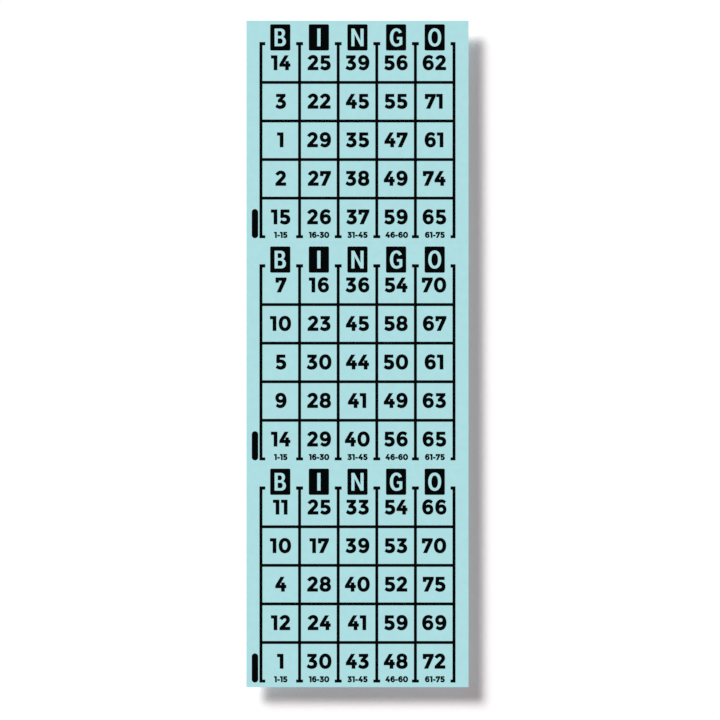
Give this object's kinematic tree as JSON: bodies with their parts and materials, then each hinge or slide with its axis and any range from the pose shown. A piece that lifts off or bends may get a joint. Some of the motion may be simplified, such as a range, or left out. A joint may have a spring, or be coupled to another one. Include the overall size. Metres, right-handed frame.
{
  "type": "bingo card strip",
  "caption": "Long card stock strip of square bingo cards, each with a ruled number grid and letter tiles, that fold on perforated lines.",
  "frame": {"origin": "middle of the strip's back, where the middle card rests on the table", "axes": "+X to the right across the strip, +Y up the strip towards the first card, +Z out of the printed face"},
  "size_m": [0.1016, 0.3048, 0.0003],
  "materials": {
    "card_stock": "matt uncoated, tinted pale aqua",
    "ink": "dry black printing ink, faint satin"
  },
  "bodies": {
    "top_card": {"card_top": "card_stock", "top_grid": "ink", "top_pill": "ink", "top_tile_b": "ink", "top_b_upper_eye": "ink", "top_b_lower_eye": "ink", "top_tile_i": "ink", "top_tile_n": "ink", "top_tile_g": "ink", "top_tile_o": "ink", "top_o_eye": "ink"},
    "middle_card": {"card_middle": "card_stock", "middle_grid": "ink", "middle_pill": "ink", "middle_tile_b": "ink", "middle_b_upper_eye": "ink", "middle_b_lower_eye": "ink", "middle_tile_i": "ink", "middle_tile_n": "ink", "middle_tile_g": "ink", "middle_tile_o": "ink", "middle_o_eye": "ink"},
    "bottom_card": {"card_bottom": "card_stock", "bottom_grid": "ink", "bottom_pill": "ink", "bottom_tile_b": "ink", "bottom_b_upper_eye": "ink", "bottom_b_lower_eye": "ink", "bottom_tile_i": "ink", "bottom_tile_n": "ink", "bottom_tile_g": "ink", "bottom_tile_o": "ink", "bottom_o_eye": "ink"}
  },
  "joints": [
    {"name": "upper_fold", "type": "hinge", "parent": "middle_card", "child": "top_card", "pos_m": [0, 0.0508, 0.00038], "axis": [1, 0, 0], "range_deg": [0, 178]},
    {"name": "lower_fold", "type": "hinge", "parent": "middle_card", "child": "bottom_card", "pos_m": [0, -0.0508, -0.00005], "axis": [1, 0, 0], "range_deg": [0, 178]}
  ]
}
